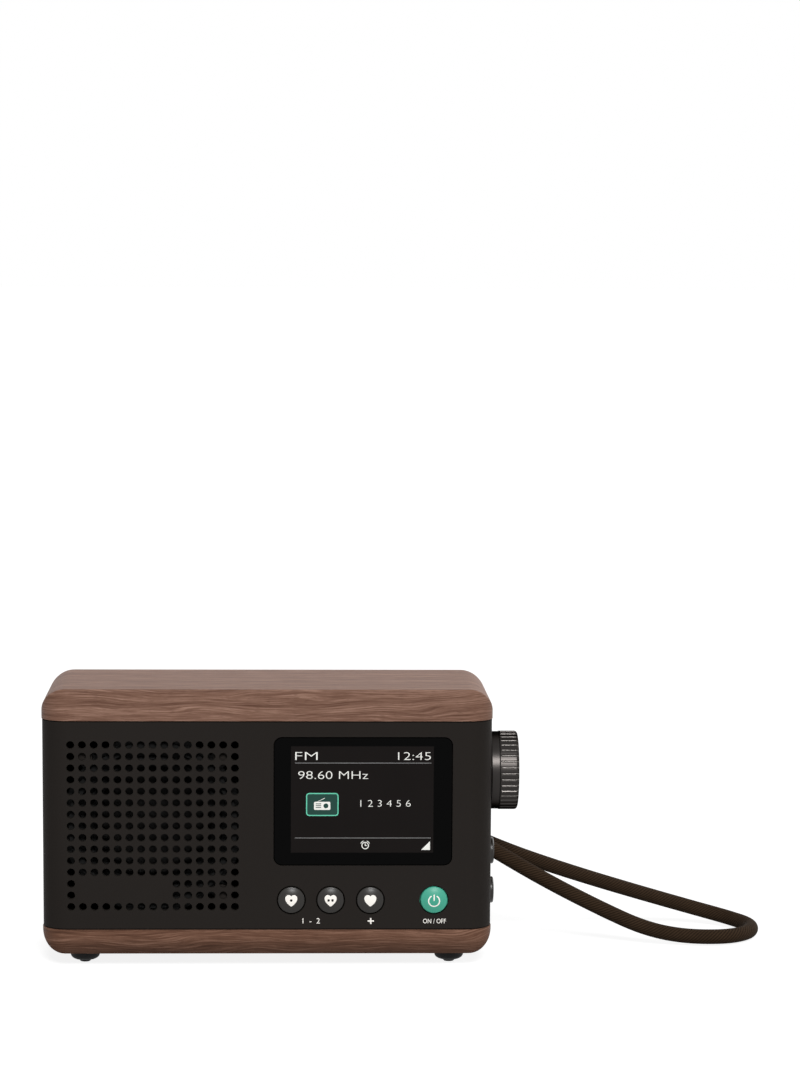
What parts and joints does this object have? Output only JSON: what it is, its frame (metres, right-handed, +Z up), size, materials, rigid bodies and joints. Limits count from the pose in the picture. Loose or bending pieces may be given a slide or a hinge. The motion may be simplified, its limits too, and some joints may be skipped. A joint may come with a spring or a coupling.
{
  "type": "tabletop radio",
  "caption": "Tabletop radio with wooden top and bottom panels, dark cabinet with a round-hole grille, colour display, round keys, fluted side knob, folding antenna and rope loop.",
  "frame": {"origin": "middle of the radio's footprint on the table, the rope loop left out", "axes": "+X to the radio's right with the knob, +Y to its back, +Z up"},
  "size_m": [0.2998, 0.0889, 0.1132],
  "materials": {
    "walnut": "satin, open grain",
    "cabinet_plastic": "fine matte texture",
    "soft_rubber": "matte",
    "zinc_steel": "zinc plated",
    "foam": "closed-cell foam",
    "pressed_steel": "black lacquer",
    "cone_paper": "pressed paper",
    "coil_copper": "enamelled wire",
    "spider_cloth": "resin-stiffened cloth",
    "soft_iron": "zinc plated",
    "ferrite": "fired ferrite",
    "lens_gloss": "polished, dark tint",
    "display_glass": "display panel",
    "inner_plastic": "moulded",
    "flat_cable": "amber film",
    "circuit_board": "green solder mask",
    "tin_shield": "tinned",
    "switch_plastic": "moulded",
    "nickel": "nickel plated",
    "knob_metal": "dark satin anodised",
    "key_dark": "satin",
    "key_green": "satin",
    "bright_chrome": "polished",
    "socket_plastic": "moulded",
    "battery_sleeve": "shrink sleeve",
    "spring_metal": "gold flashed",
    "rope_weave": "tight braid",
    "lead_skin": "PVC"
  },
  "bodies": {
    "cabinet": {"antenna_base": "bright_chrome", "antenna_lead": "lead_skin", "antenna_nut": "nickel", "battery_contacts": "spring_metal", "battery_door": "cabinet_plastic", "battery_leads": "lead_skin", "battery_pack": "battery_sleeve", "board_screws": "zinc_steel", "bottom_panel": "walnut", "display_gasket": "foam", "display_holder": "inner_plastic", "display_lens": "lens_gloss", "display_module": "display_glass", "display_ribbon": "flat_cable", "encoder_body": "nickel", "encoder_nut": "nickel", "front_cabinet": "cabinet_plastic", "headphone_jack": "socket_plastic", "key_board": "circuit_board", "key_switches": "switch_plastic", "main_board": "circuit_board", "panel_screws": "zinc_steel", "rear_cover": "cabinet_plastic", "rear_screws": "zinc_steel", "receiver_module": "tin_shield", "rubber_feet": "soft_rubber", "side_board": "circuit_board", "side_switches": "switch_plastic", "speaker_basket": "pressed_steel", "speaker_front_plate": "soft_iron", "speaker_gasket": "foam", "speaker_leads": "lead_skin", "speaker_magnet": "ferrite", "speaker_screws": "zinc_steel", "speaker_spider": "spider_cloth", "speaker_surround": "soft_rubber", "speaker_yoke": "soft_iron", "strap_clamp": "inner_plastic", "strap_grommet": "soft_rubber", "strap_rope": "rope_weave", "top_panel": "walnut", "usb_socket": "nickel"},
    "plunger": {"encoder_plunger": "inner_plastic"},
    "knob": {"encoder_shaft": "nickel", "tuning_knob": "knob_metal"},
    "preset_1": {"preset_button_1": "key_dark"},
    "preset_2": {"preset_button_2": "key_dark"},
    "favourite": {"favourite_button": "key_dark"},
    "standby": {"standby_button": "key_green"},
    "side_upper": {"side_button_upper": "key_dark"},
    "side_lower": {"side_button_lower": "key_dark"},
    "antenna_fork": {"antenna_knuckle": "bright_chrome", "antenna_pin": "bright_chrome"},
    "antenna_outer": {"antenna_tube_1": "bright_chrome"},
    "antenna_middle": {"antenna_tube_2": "bright_chrome"},
    "antenna_inner": {"antenna_tube_3": "bright_chrome"},
    "antenna_end": {"antenna_tip": "bright_chrome"},
    "cone": {"speaker_cone": "cone_paper", "speaker_dust_cap": "cone_paper", "speaker_voice_coil": "coil_copper"}
  },
  "joints": [
    {"name": "knob_push", "type": "slide", "parent": "cabinet", "child": "plunger", "axis": [-1, 0, 0], "range_m": [0, 0.0005], "stiffness_N_per_m": 2000},
    {"name": "knob_turn", "type": "hinge", "parent": "plunger", "child": "knob", "pos_m": [0.08518, -0.0035, 0.0756], "axis": [1, 0, 0], "continuous": true},
    {"name": "preset_1_press", "type": "slide", "parent": "cabinet", "child": "preset_1", "axis": [0, 1, 0], "range_m": [0, 0.0005], "stiffness_N_per_m": 600},
    {"name": "preset_2_press", "type": "slide", "parent": "cabinet", "child": "preset_2", "axis": [0, 1, 0], "range_m": [0, 0.0005], "stiffness_N_per_m": 600},
    {"name": "favourite_press", "type": "slide", "parent": "cabinet", "child": "favourite", "axis": [0, 1, 0], "range_m": [0, 0.0005], "stiffness_N_per_m": 600},
    {"name": "standby_press", "type": "slide", "parent": "cabinet", "child": "standby", "axis": [0, 1, 0], "range_m": [0, 0.0005], "stiffness_N_per_m": 600},
    {"name": "side_upper_press", "type": "slide", "parent": "cabinet", "child": "side_upper", "axis": [-1, 0, 0], "range_m": [0, 0.0005], "stiffness_N_per_m": 600},
    {"name": "side_lower_press", "type": "slide", "parent": "cabinet", "child": "side_lower", "axis": [-1, 0, 0], "range_m": [0, 0.0005], "stiffness_N_per_m": 600},
    {"name": "antenna_swivel", "type": "hinge", "parent": "cabinet", "child": "antenna_fork", "pos_m": [0.06417, 0.0342, 0.086], "axis": [0, 1, 0], "range_deg": [0, 180]},
    {"name": "antenna_tilt", "type": "hinge", "parent": "antenna_fork", "child": "antenna_outer", "pos_m": [0.06417, 0.0342, 0.086], "axis": [0, 0, -1], "range_deg": [0, 90]},
    {"name": "antenna_slide_1", "type": "slide", "parent": "antenna_outer", "child": "antenna_middle", "axis": [-1, 0, 0], "range_m": [0, 0.112]},
    {"name": "antenna_slide_2", "type": "slide", "parent": "antenna_middle", "child": "antenna_inner", "axis": [-1, 0, 0], "range_m": [0, 0.112]},
    {"name": "antenna_slide_3", "type": "slide", "parent": "antenna_inner", "child": "antenna_end", "axis": [-1, 0, 0], "range_m": [0, 0.112]},
    {"name": "cone_travel", "type": "slide", "parent": "cabinet", "child": "cone", "axis": [0, 1, 0], "range_m": [-0.0015, 0.0015], "stiffness_N_per_m": 1000, "deforming": ["speaker_surround", "speaker_spider"]}
  ]
}
